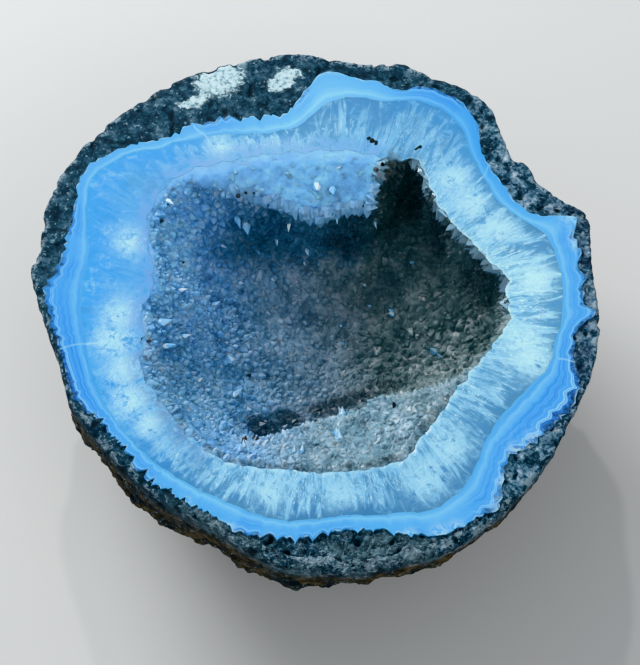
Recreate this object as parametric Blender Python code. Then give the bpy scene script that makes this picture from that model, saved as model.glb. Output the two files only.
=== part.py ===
"""Half of a geode, sawn and polished across its widest part and resting on its rounded back.

Four layers grew one inside the other, and each is a closed solid of its own: the dark rock rind, the
agate layer, the quartz layer and the crust of crystals that lines the hollow. The origin is on the
natural flat that it rests on, under the middle of the outline. +Z is up, and the polished face looks
along +Z. The photographed view looks along +Y.

Lengths are in millimetres until a solid is finished. Shapes are drawn round one upright axis: an angle
is in degrees anticlockwise from +X, and a depth is measured down from the polished face.
"""

import math
import random
from collections import namedtuple

import bmesh
import bpy
import numpy as np
from mathutils import Vector, bvhtree, geometry, noise

MM = 0.001

# The whole stone
HEIGHT = 50.0
AXIS = (1.65, -5.0)
RIND_DEPTH = 54.0
AGATE_DEPTH = 43.0
QUARTZ_DEPTH = 38.0
HOLLOW_DEPTH = 27.0
LAYER_GAP = 0.3
THINNEST_RIND = 1.4
THINNEST_AGATE = 2.4

# Lumps on the rock's outside, which fade out at the face
LUMP_SIZE = 12.0
LUMP_HEIGHT = 2.0
LUMP_ROUGHNESS = 0.55
LUMP_OCTAVES = 4
LUMP_FADE_DEGREES = 20.0
LUMP_CENTRE_DEPTH = 12.0

# The agate's jagged edge against the rock
JAG_HEIGHT = 0.8
JAG_SPACING = 2.5

# Lumps on the hollow's wall
HOLLOW_LUMP_SIZE = 11.0
HOLLOW_LUMP_HEIGHT = 1.0
HOLLOW_LUMP_ROUGHNESS = 0.8
HOLLOW_LUMP_FADE = 0.3

# The crust and its crystals
CRUST_THICKNESS = 1.4
CRUST_EDGE = 0.5
BELOW_FACE = 0.15
CRYSTAL_SPACING = 4.1
CRYSTAL_HEIGHTS = (1.2, 2.6)
CRYSTAL_LEAN = 0.2
LEAST_GROWTH = 0.3
SHARE_OF_ROOM = 0.4
SHARE_BELOW_FACE = 0.8
LEAST_EDGE_REACH = 0.25

# Tessellation: segments round the face and round each lower ring, and the hollow's lattice, whose points
# stray by a share of a step and keep a share of a step clear of the ring round it
RIM_SEGMENTS = 120
RIND_RINGS = (120, 92, 84, 82, 80, 76, 72, 66, 60, 54, 46, 38, 30, 20, 10)
LAYER_RINGS = (120, 60, 46, 32, 20, 10)
OUTLINE_STEP = 0.5
OUTLINE_REACH = 8
HOLLOW_REACH = 52.0
WALL_SPACING = 4.8
LATTICE_STRAY = 0.2
LATTICE_EDGE = 0.6

# Outlines on the polished face: (angle, distance from the axis)
RIM = (
    (0, 58.5), (8, 58.4), (14, 59.3), (20, 61.5), (24, 62.5), (28, 59.5), (35, 57), (40, 58.5), (43, 57),
    (48, 59.5), (54, 64), (60, 65), (68, 64.5), (74, 66), (80, 64), (86, 64), (93, 66), (105, 66.5),
    (120, 67), (140, 67), (150, 66.5), (158, 65), (163, 63), (165, 62), (169, 63.5), (173, 61.5),
    (180, 58.5), (190, 55.5), (200, 55.5), (212, 53), (225, 52), (240, 51), (250, 52), (262, 55),
    (275, 56), (298, 57), (315, 56), (335, 56), (348, 57.5),
)
AGATE = (
    (0, 55), (14, 56.5), (22, 57.5), (26, 55), (28, 51.5), (33, 50.5), (39, 50), (45, 52), (51, 54),
    (54, 59), (58, 60.5), (64, 62), (70, 61), (73, 58.5), (80, 59.5), (90, 61), (94, 55), (98, 51),
    (104, 50), (110, 52), (120, 54.5), (131, 56.5), (136, 60), (142, 62), (147, 62.5), (153, 60),
    (160, 57.5), (168, 57.5), (174, 59), (182, 56.5), (190, 55), (198, 55), (206, 51.5), (214, 50),
    (222, 51), (230, 50), (240, 48.5), (250, 50), (262, 49), (276, 47), (283, 48), (292, 51.5),
    (298, 53.5), (304, 53.5), (310, 55.5), (314, 52), (320, 48.5), (328, 51.5), (338, 55), (346, 55),
    (352, 52.5),
)
QUARTZ = (
    (0, 50), (10, 51.5), (22, 52), (26, 50.5), (30, 48), (36, 47), (42, 48), (48, 50), (52, 52),
    (56, 55.5), (62, 57.5), (68, 57.5), (74, 55), (84, 54.5), (89, 53), (93, 48.5), (98, 46.5),
    (106, 46.5), (114, 49), (124, 52), (132, 55.5), (138, 59), (145, 60.5), (150, 58.5), (156, 55),
    (163, 51.5), (174, 51), (186, 49.5), (200, 49), (215, 47.5), (230, 46), (245, 45), (260, 45.5),
    (276, 43.5), (288, 45.5), (298, 48), (306, 47.5), (314, 45), (321, 43), (328, 42.5), (336, 44),
    (346, 48),
)
HOLLOW = (
    (0, 39.5), (8, 39.5), (15, 40.5), (20, 38), (28, 37), (36, 36), (46, 36.5), (54, 39.5), (60, 43),
    (63, 44), (66, 41.5), (76, 41), (96, 40.5), (108, 41.5), (120, 43.5), (130, 46), (138, 46.5),
    (146, 45), (153, 42), (160, 38.5), (168, 36), (176, 38), (186, 37.5), (198, 39.5), (213, 38),
    (238, 38), (247, 36.5), (258, 35), (275, 35), (290, 35.5), (298, 36.5), (306, 34), (316, 33),
    (328, 32), (340, 33.5), (350, 36),
)
SOFTENING_DEGREES = {"rim": 1.2, "agate": 1.2, "quartz": 2.0, "hollow": 1.2}

# How fast the rounded back draws in below the face: (angle, share of the radius taken off halfway down)
DRAWN_IN = (
    (0, 0.04), (60, 0.0), (150, 0.0), (190, -0.04), (215, -0.06), (240, -0.05), (262, -0.01), (280, 0.03),
    (310, 0.01), (345, 0.04),
)

# The hollow's wall: (angle, ledge's share of the radius, its depth, foot's share of the radius, its depth)
HOLLOW_WALL = (
    (0, 1.02, 4.0, 0.98, 17), (20, 1.03, 4.0, 1.00, 17), (45, 1.04, 4.0, 1.02, 18),
    (64, 1.02, 4.0, 1.00, 19), (71, 0.72, 6.5, 0.74, 19), (80, 0.70, 6.5, 0.72, 19),
    (91, 0.65, 6.5, 0.67, 19), (100, 0.67, 6.0, 0.66, 18), (108, 0.73, 5.0, 0.70, 17),
    (117, 0.79, 4.0, 0.74, 16), (125, 0.86, 2.5, 0.78, 15), (136, 0.95, 1.6, 0.80, 14),
    (160, 0.95, 2.2, 0.72, 13), (180, 0.94, 2.5, 0.68, 14), (225, 0.93, 3.0, 0.66, 15),
    (240, 0.80, 6.0, 0.66, 17), (250, 0.70, 8.0, 0.66, 19), (258, 0.61, 9.0, 0.60, 20),
    (282, 0.52, 10.0, 0.54, 21), (308, 0.56, 9.5, 0.52, 19), (320, 0.75, 7.0, 0.55, 17),
    (335, 0.98, 4.0, 0.75, 17), (350, 1.02, 4.0, 0.95, 17),
)
MID_FLOOR_SHARE = 0.5
MID_FLOOR_SINK = 0.75
WALL_SOFTENING = 0.05

COLOURS = {
    "rind": (0.060, 0.066, 0.068),
    "agate_layer": (0.16, 0.42, 0.80),
    "quartz_layer": (0.42, 0.66, 0.82),
    "crystal_crust": (0.20, 0.25, 0.29),
}
ROUGHNESSES = {"rind": 0.85, "agate_layer": 0.18, "quartz_layer": 0.22, "crystal_crust": 0.15}

Lattice = namedtuple("Lattice", "flat is_tip triangles")
Hollow = namedtuple("Hollow", "lattice points normals")


def clear_scene():
    for obj in list(bpy.data.objects):
        bpy.data.objects.remove(obj)


def softened(points, degrees):
    """Radius as a function of the angle, through the points, with its corners eased."""
    angles, radii = np.array(points, float).T
    fine = np.arange(0, 360, OUTLINE_STEP)
    radius = np.interp(fine, angles, radii, period=360)
    reach = np.arange(-OUTLINE_REACH, OUTLINE_REACH + 1)
    weights = np.exp(-0.5 * (reach * OUTLINE_STEP / degrees) ** 2)
    eased = sum(w * np.roll(radius, k) for k, w in zip(reach, weights)) / weights.sum()
    return lambda angle: np.interp(angle, fine, eased, period=360)


def jag(angle):
    """How far the agate's edge runs out into the rock, or back from it, at an angle."""
    turn = math.radians(angle)
    reach = RIM[0][1] / JAG_SPACING
    return JAG_HEIGHT * noise.noise(Vector((math.cos(turn), math.sin(turn), 0.0)) * reach)


def outlines():
    """The four outlines on the face, each kept inside the one round it."""
    rim = softened(RIM, SOFTENING_DEGREES["rim"])
    agate_drawn = softened(AGATE, SOFTENING_DEGREES["agate"])
    quartz_drawn = softened(QUARTZ, SOFTENING_DEGREES["quartz"])
    hollow = softened(HOLLOW, SOFTENING_DEGREES["hollow"])

    def agate(angle):
        return np.minimum(agate_drawn(angle) + jag(angle), rim(angle) - THINNEST_RIND)

    def quartz(angle):
        return np.minimum(quartz_drawn(angle), agate(angle) - THINNEST_AGATE)

    return {"rim": rim, "agate": agate, "quartz": quartz, "hollow": hollow}


def keyed(rows, column, angle):
    table = np.array(rows, float)
    return np.interp(angle, table[:, 0], table[:, column], period=360)


def from_axis(radius, angle, depth):
    """A point by its distance from the axis, its angle in degrees and its depth below the face."""
    turn = math.radians(angle)
    return Vector((AXIS[0] + radius * math.cos(turn), AXIS[1] + radius * math.sin(turn), HEIGHT - depth))


def bowl_point(outline, angle, fall, layer_depth):
    """A point of a rounded layer, where fall goes from 0 at the face to 90 degrees under the axis."""
    turn = math.radians(fall)
    share = math.cos(turn) - keyed(DRAWN_IN, 1, angle) * math.sin(2 * turn)
    return from_axis(outline(angle) * share, angle, layer_depth * math.sin(turn))


def bowl_rings(outline, layer_depth, counts):
    """Rings of points from the face down, and the point under the axis."""
    rings = []
    for row, count in enumerate(counts):
        fall = 90.0 * row / len(counts)
        rings.append([bowl_point(outline, 360.0 * k / count, fall, layer_depth) for k in range(count)])
    return rings, from_axis(0.0, 0.0, layer_depth)


def layer_rings(outline, layer_depth, inset):
    """The rings of a boundary between two layers, drawn in by half the gap on each side of it."""
    return bowl_rings(moved(outline, inset), layer_depth - inset, LAYER_RINGS)


def hollow_profile(outline, angle):
    """The hollow's wall at an angle, from the face to the axis: distances from the axis, and depths."""
    ledge, ledge_depth, foot, foot_depth = (keyed(HOLLOW_WALL, k, angle) for k in (1, 2, 3, 4))
    floor_depth = foot_depth + (HOLLOW_DEPTH - foot_depth) * MID_FLOOR_SINK
    radii = outline(angle) * np.array((1.0, ledge, foot, foot * MID_FLOOR_SHARE, 0.0))
    return radii, np.array((0.0, ledge_depth, foot_depth, floor_depth, HOLLOW_DEPTH))


def hollow_point(outline, angle, station):
    """A point of the hollow: station is the share of the way along the wall, from the face to the axis."""
    radii, depths = hollow_profile(outline, angle)
    lengths = np.hypot(np.diff(radii), np.diff(depths))
    stations = np.concatenate(((0.0,), np.cumsum(lengths))) / lengths.sum()
    width = min(WALL_SOFTENING, station, 1.0 - station)
    near = station + width * np.linspace(-1.0, 1.0, 5)
    radius = np.interp(near, stations, radii).mean()
    depth = np.interp(near, stations, depths).mean()
    point = from_axis(radius, angle, depth)
    fade = min(1.0, station / HOLLOW_LUMP_FADE) ** 2
    size = noise.fractal(point / HOLLOW_LUMP_SIZE, HOLLOW_LUMP_ROUGHNESS, 2.0, 2)
    point.z += size * HOLLOW_LUMP_HEIGHT * fade
    return point


def edge_station(outline, angle):
    """The station whose point, moved into the hollow by the gap, lies just below the face."""
    radii, depths = hollow_profile(outline, angle)
    slope = math.atan2(depths[1], radii[0] - radii[1])
    reach = (BELOW_FACE + LAYER_GAP * math.cos(slope)) / math.sin(slope)
    return max(LEAST_EDGE_REACH, reach) / np.hypot(np.diff(radii), np.diff(depths)).sum()


def lumpy(point, fall):
    """A point of the rind's outside, pushed in or out by the rock's lumps, which fade out at the face."""
    fade = min(1.0, fall / LUMP_FADE_DEGREES)
    middle = Vector((AXIS[0], AXIS[1], HEIGHT - LUMP_CENTRE_DEPTH))
    size = noise.fractal(point / LUMP_SIZE, LUMP_ROUGHNESS, 2.1, LUMP_OCTAVES)
    return point + (point - middle).normalized() * size * LUMP_HEIGHT * fade


def stitch(mesh, upper, lower):
    """Joins two closed rings of vertices, which may differ in number, with triangles."""
    i = j = 0
    while i < len(upper) or j < len(lower):
        upper_turn = (i + 1) / len(upper)
        lower_turn = (j + 1) / len(lower)
        a, b = upper[i % len(upper)], lower[j % len(lower)]
        if j == len(lower) or (i < len(upper) and upper_turn <= lower_turn):
            mesh.faces.new((a, b, upper[(i + 1) % len(upper)]))
            i += 1
        else:
            mesh.faces.new((a, b, lower[(j + 1) % len(lower)]))
            j += 1


def add_bowl(mesh, rings, pole):
    """Adds a layer's rounded surface and returns its ring at the face."""
    made = [[mesh.verts.new(p) for p in ring] for ring in rings]
    for upper, lower in zip(made, made[1:]):
        stitch(mesh, upper, lower)
    bottom = mesh.verts.new(pole)
    last = made[-1]
    for k, vertex in enumerate(last):
        mesh.faces.new((vertex, last[(k + 1) % len(last)], bottom))
    return made[0]


def moved(outline, distance):
    """The outline moved towards the axis, square to its own line, by a distance."""

    def radius(angle):
        slope = (outline(angle + 0.5) - outline(angle - 0.5)) / math.radians(1.0)
        here = outline(angle)
        return here - distance * math.hypot(1.0, slope / here)

    return radius


def flat_lattice(spacing, seed):
    """A slightly uneven triangular lattice on a disc of radius 1, with the ring round it first.

    A crystal's tip stands on one point in three.
    """
    rng = random.Random(seed)
    step = spacing / HOLLOW_REACH
    turns = [math.tau * k / RIM_SEGMENTS for k in range(RIM_SEGMENTS)]
    flat = [Vector((math.cos(turn), math.sin(turn))) for turn in turns]
    is_tip = [False] * RIM_SEGMENTS
    rows = int(1 / (step * math.sqrt(0.75))) + 1
    for row in range(-rows, rows + 1):
        for column in range(-2 * rows, 2 * rows + 1):
            stray = [rng.uniform(-LATTICE_STRAY, LATTICE_STRAY) for _ in range(2)]
            u = (column + row / 2 + stray[0]) * step
            v = (row * math.sqrt(0.75) + stray[1]) * step
            if math.hypot(u, v) < 1 - LATTICE_EDGE * step:
                flat.append(Vector((u, v)))
                is_tip.append((column - row) % 3 == 0)
    triangles = [tuple(face) for face in geometry.delaunay_2d_cdt(flat, [], [], 0, 1e-7)[2]]
    return Lattice(flat, is_tip, triangles)


def normals_of(points, triangles):
    normals = [Vector() for _ in points]
    for corners in triangles:
        a, b, c = (points[k] for k in corners)
        for k in corners:
            normals[k] += (b - a).cross(c - a)
    return [normal.normalized() for normal in normals]


def make_hollow(outline):
    """The hollow's bare wall on a coarse lattice, with its points and the directions square to it."""
    lattice = flat_lattice(WALL_SPACING, seed=11)
    points = []
    for place in lattice.flat:
        angle = math.degrees(math.atan2(place.y, place.x)) % 360
        edge = edge_station(outline, angle)
        points.append(hollow_point(outline, angle, edge + (1 - edge) * max(0.0, 1 - place.length)))
    return Hollow(lattice, points, normals_of(points, lattice.triangles))


def crystal_feet(hollow):
    """The wall's points and directions on a finer lattice for the crystals, read off the coarse one."""
    wall = hollow.lattice
    lattice = flat_lattice(CRYSTAL_SPACING / math.sqrt(3), seed=12)
    finder = bvhtree.BVHTree.FromPolygons([p.to_3d() for p in wall.flat], wall.triangles)
    feet = []
    directions = []
    for place in lattice.flat:
        corners = wall.triangles[finder.find_nearest(place.to_3d())[2]]
        from_flat = [wall.flat[k].to_3d() for k in corners]
        for values, out in ((hollow.points, feet), (hollow.normals, directions)):
            to_wall = [values[k] for k in corners]
            out.append(geometry.barycentric_transform(place.to_3d(), *from_flat, *to_wall))
    return lattice, feet, [direction.normalized() for direction in directions]


def growth(height, foot, direction, walls):
    """A height cut down to the room that is left before the wall across and below the polished face."""
    room = walls.ray_cast(foot + direction * LAYER_GAP, direction)[3]
    if room is not None:
        height = min(height, room * SHARE_OF_ROOM)
    if direction.z > 0:
        height = min(height, SHARE_BELOW_FACE * (HEIGHT - BELOW_FACE - foot.z) / direction.z)
    return max(height, LAYER_GAP + LEAST_GROWTH)


def crust_front(hollow):
    """The lattice and the points of the crust's front: low between the crystals and high at their tips."""
    lattice, feet, directions = crystal_feet(hollow)
    walls = bvhtree.BVHTree.FromPolygons(hollow.points, hollow.lattice.triangles)
    top = HEIGHT - BELOW_FACE
    rng = random.Random(8)
    front = []
    for foot, direction in zip(feet[:RIM_SEGMENTS], directions):
        inward = Vector((AXIS[0] - foot.x, AXIS[1] - foot.y, 0.0)).normalized()
        place = foot + direction * LAYER_GAP + inward * CRUST_EDGE
        front.append(Vector((place.x, place.y, top)))
    for k in range(RIM_SEGMENTS, len(feet)):
        height = CRUST_THICKNESS
        direction = directions[k]
        if lattice.is_tip[k]:
            height += rng.uniform(*CRYSTAL_HEIGHTS)
            direction = direction + Vector([rng.uniform(-CRYSTAL_LEAN, CRYSTAL_LEAN) for _ in range(3)])
        place = feet[k] + direction.normalized() * growth(height, feet[k], directions[k], walls)
        front.append(Vector((place.x, place.y, min(place.z, top))))
    return lattice, front


def add_surface(mesh, points, triangles):
    """Adds a surface on a lattice and returns its ring along the face."""
    verts = [mesh.verts.new(p) for p in points]
    for a, b, c in triangles:
        mesh.faces.new((verts[a], verts[b], verts[c]))
    return verts[:RIM_SEGMENTS]


def as_object(name, mesh):
    """Closes up the bmesh as a named object with its own material, at real size in metres."""
    bmesh.ops.recalc_face_normals(mesh, faces=mesh.faces)
    bmesh.ops.scale(mesh, vec=(MM, MM, MM), verts=mesh.verts)
    data = bpy.data.meshes.new(name)
    mesh.to_mesh(data)
    mesh.free()
    material = bpy.data.materials.new(name)
    material.use_nodes = True
    shader = material.node_tree.nodes["Principled BSDF"]
    shader.inputs["Base Color"].default_value = (*COLOURS[name], 1.0)
    shader.inputs["Roughness"].default_value = ROUGHNESSES[name]
    shader.inputs["Metallic"].default_value = 0.0
    data.materials.append(material)
    obj = bpy.data.objects.new(name, data)
    bpy.context.scene.collection.objects.link(obj)
    return obj


def cut_resting_flat(mesh):
    """Cuts the mesh off flat at the ground and closes it."""
    everything = mesh.verts[:] + mesh.edges[:] + mesh.faces[:]
    bmesh.ops.bisect_plane(mesh, geom=everything, plane_no=(0, 0, -1), clear_outer=True, dist=1e-6)
    cut = [e for e in mesh.edges if e.is_boundary and max(v.co.z for v in e.verts) < HEIGHT / 2]
    for vertex in {v for e in cut for v in e.verts}:
        vertex.co.z = 0.0
    bmesh.ops.contextual_create(mesh, geom=cut)


def make_rind(lines):
    """The rock shell: lumpy outside, a natural flat to rest on, and smooth where the agate grew on it."""
    mesh = bmesh.new()
    rings, pole = bowl_rings(lines["rim"], RIND_DEPTH, RIND_RINGS)
    falls = [90.0 * row / len(RIND_RINGS) for row in range(len(RIND_RINGS))]
    rings = [[lumpy(p, fall) for p in ring] for ring, fall in zip(rings, falls)]
    outside = add_bowl(mesh, rings, pole)
    cut_resting_flat(mesh)
    inside = add_bowl(mesh, *layer_rings(lines["agate"], AGATE_DEPTH, -LAYER_GAP / 2))
    stitch(mesh, outside, inside)
    return as_object("rind", mesh)


def make_agate(lines):
    """The banded agate shell between the rock and the quartz."""
    mesh = bmesh.new()
    outside = add_bowl(mesh, *layer_rings(lines["agate"], AGATE_DEPTH, LAYER_GAP / 2))
    inside = add_bowl(mesh, *layer_rings(lines["quartz"], QUARTZ_DEPTH, -LAYER_GAP / 2))
    stitch(mesh, outside, inside)
    return as_object("agate_layer", mesh)


def make_quartz(lines, hollow):
    """The pale quartz between the agate and the hollow."""
    mesh = bmesh.new()
    outside = add_bowl(mesh, *layer_rings(lines["quartz"], QUARTZ_DEPTH, LAYER_GAP / 2))
    turns = [360.0 * k / RIM_SEGMENTS for k in range(RIM_SEGMENTS)]
    lip = [mesh.verts.new(from_axis(lines["hollow"](angle), angle, 0.0)) for angle in turns]
    stitch(mesh, outside, lip)
    stitch(mesh, lip, add_surface(mesh, hollow.points, hollow.lattice.triangles))
    return as_object("quartz_layer", mesh)


def make_crust(hollow):
    """The crust that lines the hollow: six-sided crystals with flat faces, fused at their feet."""
    mesh = bmesh.new()
    back = [point + normal * LAYER_GAP for point, normal in zip(hollow.points, hollow.normals)]
    for point in back[:RIM_SEGMENTS]:
        point.z = HEIGHT - BELOW_FACE
    lattice, front = crust_front(hollow)
    back_ring = add_surface(mesh, back, hollow.lattice.triangles)
    stitch(mesh, back_ring, add_surface(mesh, front, lattice.triangles))
    return as_object("crystal_crust", mesh)


def main():
    clear_scene()
    lines = outlines()
    hollow = make_hollow(lines["hollow"])
    make_rind(lines)
    make_agate(lines)
    make_quartz(lines, hollow)
    make_crust(hollow)


main()
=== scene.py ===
"""The visual model of half a geode: rough rock, banded agate, fibrous quartz and a druse of crystals.

Lengths are in millimetres until a mesh is made. Shapes are drawn round one upright axis: an angle is in
degrees anticlockwise from +X, a depth is measured down from the polished face, and a station is the share
of the way along the hollow's wall, from the face to the axis.
"""

import math
import random

import bpy
import numpy as np
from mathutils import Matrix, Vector, noise


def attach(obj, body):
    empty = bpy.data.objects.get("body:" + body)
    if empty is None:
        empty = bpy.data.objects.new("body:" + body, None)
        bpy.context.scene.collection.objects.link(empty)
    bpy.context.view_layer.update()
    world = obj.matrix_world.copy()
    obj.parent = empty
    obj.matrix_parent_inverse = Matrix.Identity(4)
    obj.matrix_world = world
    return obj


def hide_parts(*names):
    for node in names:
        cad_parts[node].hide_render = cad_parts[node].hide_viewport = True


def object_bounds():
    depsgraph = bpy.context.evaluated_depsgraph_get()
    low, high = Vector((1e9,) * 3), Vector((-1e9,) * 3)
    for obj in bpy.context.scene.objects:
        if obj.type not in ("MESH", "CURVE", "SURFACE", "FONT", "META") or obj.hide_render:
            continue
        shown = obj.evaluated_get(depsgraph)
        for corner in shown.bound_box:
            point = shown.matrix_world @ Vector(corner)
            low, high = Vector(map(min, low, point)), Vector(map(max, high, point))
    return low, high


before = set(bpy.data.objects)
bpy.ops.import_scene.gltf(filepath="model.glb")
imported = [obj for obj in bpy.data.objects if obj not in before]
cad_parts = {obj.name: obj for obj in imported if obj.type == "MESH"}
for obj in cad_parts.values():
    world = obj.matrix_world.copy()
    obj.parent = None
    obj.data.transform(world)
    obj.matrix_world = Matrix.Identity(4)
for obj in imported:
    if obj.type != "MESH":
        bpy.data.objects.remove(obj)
CAD_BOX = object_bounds()

MM = 0.001
PER_MM = 1 / MM
HEIGHT = CAD_BOX[1][2] / MM

# The whole stone, as in the solids
AXIS = (1.65, -5.0)
RIND_DEPTH = 54.0
HOLLOW_DEPTH = 27.0
THINNEST_RIND = 1.0
THINNEST_AGATE = 2.4
LUMP_SIZE = 12.0
LUMP_HEIGHT = 2.0
LUMP_ROUGHNESS = 0.55
LUMP_OCTAVES = 4
LUMP_FADE_DEGREES = 20.0
LUMP_CENTRE_DEPTH = 12.0
HOLLOW_LUMP_SIZE = 11.0
HOLLOW_LUMP_HEIGHT = 1.0
HOLLOW_LUMP_ROUGHNESS = 0.8
HOLLOW_LUMP_FADE = 0.3
HOLLOW_REACH = 52.0
STRAY = 0.32
RAY_LENGTH = 50.0
MID_FLOOR_SHARE = 0.5
MID_FLOOR_SINK = 0.75
WALL_SOFTENING = 0.05
OUTSIDE_FALL = (0.5, 89.5)

# Outlines on the polished face: (angle, distance from the axis)
RIM = (
    (0, 58.5), (8, 58.4), (14, 59.3), (20, 61.5), (24, 62.5), (28, 59.5), (35, 57), (40, 58.5), (43, 57),
    (48, 59.5), (54, 64), (60, 65), (68, 64.5), (74, 66), (80, 64), (86, 64), (93, 66), (105, 66.5),
    (120, 67), (140, 67), (150, 66.5), (158, 65), (163, 63), (165, 62), (169, 63.5), (173, 61.5),
    (180, 58.5), (190, 55.5), (200, 55.5), (212, 53), (225, 52), (240, 51), (250, 52), (262, 55),
    (275, 56), (298, 57), (315, 56), (335, 56), (348, 57.5),
)
AGATE = (
    (0, 55), (14, 56.5), (22, 57.5), (26, 55), (28, 51.5), (33, 50.5), (39, 50), (45, 52), (51, 54),
    (54, 59), (58, 60.5), (64, 62), (70, 61), (73, 58.5), (80, 59.5), (90, 61), (94, 55), (98, 51),
    (104, 50), (110, 52), (120, 54.5), (131, 56.5), (136, 60), (142, 62), (147, 62.5), (153, 60),
    (160, 57.5), (168, 57.5), (174, 59), (182, 56.5), (190, 55), (198, 55), (206, 51.5), (214, 50),
    (222, 51), (230, 50), (240, 48.5), (250, 50), (262, 49), (276, 47), (283, 48), (292, 51.5),
    (298, 53.5), (304, 53.5), (310, 55.5), (314, 52), (320, 48.5), (328, 51.5), (338, 55), (346, 55),
    (352, 52.5),
)
QUARTZ = (
    (0, 50), (10, 51.5), (22, 52), (26, 50.5), (30, 48), (36, 47), (42, 48), (48, 50), (52, 52),
    (56, 55.5), (62, 57.5), (68, 57.5), (74, 55), (84, 54.5), (89, 53), (93, 48.5), (98, 46.5),
    (106, 46.5), (114, 49), (124, 52), (132, 55.5), (138, 59), (145, 60.5), (150, 58.5), (156, 55),
    (163, 51.5), (174, 51), (186, 49.5), (200, 49), (215, 47.5), (230, 46), (245, 45), (260, 45.5),
    (276, 43.5), (288, 45.5), (298, 48), (306, 47.5), (314, 45), (321, 43), (328, 42.5), (336, 44),
    (346, 48),
)
HOLLOW = (
    (0, 39.5), (8, 39.5), (15, 40.5), (20, 38), (28, 37), (36, 36), (46, 36.5), (54, 39.5), (60, 43),
    (63, 44), (66, 41.5), (76, 41), (96, 40.5), (108, 41.5), (120, 43.5), (130, 46), (138, 46.5),
    (146, 45), (153, 42), (160, 38.5), (168, 36), (176, 38), (186, 37.5), (198, 39.5), (213, 38),
    (238, 38), (247, 36.5), (258, 35), (275, 35), (290, 35.5), (298, 36.5), (306, 34), (316, 33),
    (328, 32), (340, 33.5), (350, 36),
)
OUTLINE_STEP = 0.5
OUTLINE_REACH = 8

# How fast the rounded back draws in below the face: (angle, share of the radius taken off halfway down)
DRAWN_IN = (
    (0, 0.04), (60, 0.0), (150, 0.0), (190, -0.04), (215, -0.06), (240, -0.05), (262, -0.01), (280, 0.03),
    (310, 0.01), (345, 0.04),
)

# The hollow's wall: (angle, ledge's share of the radius, its depth, foot's share of the radius, its depth)
HOLLOW_WALL = (
    (0, 1.02, 4.0, 0.98, 17), (20, 1.03, 4.0, 1.0, 17), (45, 1.04, 4.0, 1.02, 18),
    (64, 1.02, 4.0, 1.0, 19), (71, 0.72, 6.5, 0.74, 19), (80, 0.7, 6.5, 0.72, 19),
    (91, 0.65, 6.5, 0.67, 19), (100, 0.67, 6.0, 0.66, 18), (108, 0.73, 5.0, 0.7, 17),
    (117, 0.79, 4.0, 0.74, 16), (125, 0.86, 2.5, 0.78, 15), (136, 0.95, 1.6, 0.8, 14),
    (160, 0.95, 2.2, 0.72, 13), (180, 0.94, 2.5, 0.68, 14), (225, 0.93, 3.0, 0.66, 15),
    (240, 0.8, 6.0, 0.66, 17), (250, 0.7, 8.0, 0.66, 19), (258, 0.61, 9.0, 0.6, 20),
    (282, 0.52, 10.0, 0.54, 21), (308, 0.56, 9.5, 0.52, 19), (320, 0.75, 7.0, 0.55, 17),
    (335, 0.98, 4.0, 0.75, 17), (350, 1.02, 4.0, 0.95, 17),
)

# Columns round each piece, and rows across it
OUTSIDE_GRID = (720, 118)
FACE_GRID = (1440, 44)
AGATE_GRID = (1800, 16)
QUARTZ_GRID = (1440, 26)
BED_GRID = (420, 110)
SIDE_ROWS = 3
WALL_ROWS = 7
CRYSTAL_POINTS = 13
CRYSTAL_FACES = 18

# The face's pieces against each other
ROCK_BELOW_FACE = 0.12
UNDER_AGATE = 2.0
TUCK = 2.5
SIDE_OVERLAP = 1.2
CHIP_DEPTH = 1.8
BAND_THICKNESS = 1.2

# The camera: its height over the horizon, its distance to what it looks at, and its field of view
CAMERA_ELEVATION = 65.0
CAMERA_DISTANCE = 400.0
CAMERA_TARGET = (AXIS[0] - 0.42, AXIS[1] - 3.35, HEIGHT)
CAMERA_LENS = 103.7
SENSOR_HEIGHT = 36.0

# The floor in metres: half its width, and how far it lies below the stone
FLOOR_REACH = 3.0
FLOOR_DROP = 0.0002


def softened(points, degrees):
    """An outline through points, as a function from an angle to a radius, with its corners eased."""
    angles, radii = np.array(points, float).T
    fine = np.arange(0, 360, OUTLINE_STEP)
    radius = np.interp(fine, angles, radii, period=360)
    reach = np.arange(-OUTLINE_REACH, OUTLINE_REACH + 1)
    weights = np.exp(-0.5 * (reach * OUTLINE_STEP / degrees) ** 2)
    eased = sum(w * np.roll(radius, k) for k, w in zip(reach, weights)) / weights.sum()
    return lambda angle: np.interp(angle, fine, eased, period=360)


def zigzag(seed, spacing, outward, inward):
    """A jagged line round the stone, as how far it stands out at an angle."""
    rng = random.Random(seed)
    angles = []
    offsets = []
    angle = 0.0
    side = 1
    while angle < 360:
        angles.append(angle)
        offsets.append(rng.uniform(0.15, 1.0) * (outward if side > 0 else -inward))
        angle += rng.uniform(0.35, 1.65) * spacing
        if rng.random() < 0.85:
            side = -side
    return lambda at: np.interp(at, angles, offsets, period=360)


def cells(seed, low, high):
    """Uneven cells round the stone: a function from an angle to its cell's number, width and share across.

    The share runs from -1 to 1 between the cell's sides, and the width is in degrees.
    """
    rng = random.Random(seed)
    sides = [0.0]
    while sides[-1] < 360 - high:
        sides.append(sides[-1] + rng.uniform(low, high))
    sides = np.array(sides + [360.0])

    def at(angle):
        number = np.clip(np.searchsorted(sides, angle, side="right") - 1, 0, len(sides) - 2)
        width = sides[number + 1] - sides[number]
        return number, width, 2 * (angle - sides[number]) / width - 1
    return at


def smooth(low, high, value):
    """An eased step from 0 at low to 1 at high. It falls where low is above high."""
    t = np.clip((value - low) / (high - low), 0.0, 1.0)
    return t * t * (3 - 2 * t)


def near(angle, centre, reach):
    """1 at the centre angle, falling smoothly to 0 at the reach on either side."""
    return smooth(reach, 0.0, np.abs((angle - centre + 180) % 360 - 180))


def swells(angle, *rows):
    """Swells round the stone, added up. Each has a centre angle, a reach in degrees and a height."""
    return sum(height * near(angle, centre, reach) for centre, reach, height in rows)


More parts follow.
